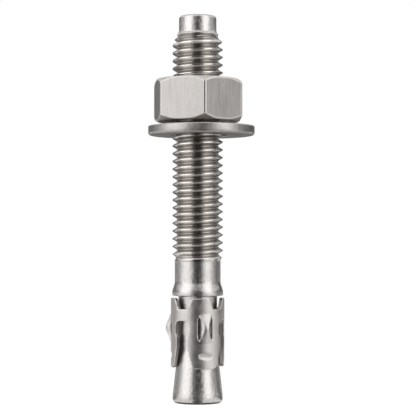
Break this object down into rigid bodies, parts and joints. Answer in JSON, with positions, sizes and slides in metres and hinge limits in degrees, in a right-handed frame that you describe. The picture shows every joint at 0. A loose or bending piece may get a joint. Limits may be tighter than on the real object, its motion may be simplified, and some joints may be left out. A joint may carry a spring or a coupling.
{
  "type": "expansion bolt",
  "caption": "Stud-type expansion bolt: threaded stud with a cone end, a sheet expansion clip on its neck, a flat washer and a hex nut.",
  "frame": {"origin": "centre of the cone-end face, on which the bolt stands", "axes": "+Z along the stud towards the nut and the free thread end, -Y towards the front of the clip, +X to the right of it"},
  "size_m": [0.0207, 0.0206, 0.075],
  "materials": {
    "turned_stainless": "satin, cold formed and turned",
    "machined_stainless": "fine vertical grain",
    "stamped_stainless": "satin, tumbled",
    "folded_stainless": "satin, blanked and folded from sheet"
  },
  "bodies": {
    "stud": {"stud": "turned_stainless"},
    "washer": {"washer": "stamped_stainless"},
    "nut": {"nut": "machined_stainless"},
    "clip": {"expansion_clip": "folded_stainless"}
  },
  "joints": [
    {"name": "nut_turn", "type": "hinge", "parent": "washer", "child": "nut", "pos_m": [0, 0, 0.0544], "axis": [0, 0, 1], "range_deg": [-6288, 2952]},
    {"name": "washer_slide", "type": "slide", "parent": "stud", "child": "washer", "axis": [0, 0, 1], "range_m": [-0.02621, 0.01231]},
    {"name": "clip_slide", "type": "slide", "parent": "stud", "child": "clip", "axis": [0, 0, 1], "range_m": [-0.0008, 0.00035]}
  ],
  "couplings": [
    {"joint": "washer_slide", "follows": "nut_turn", "m_per_rad": 0.00023873}
  ]
}
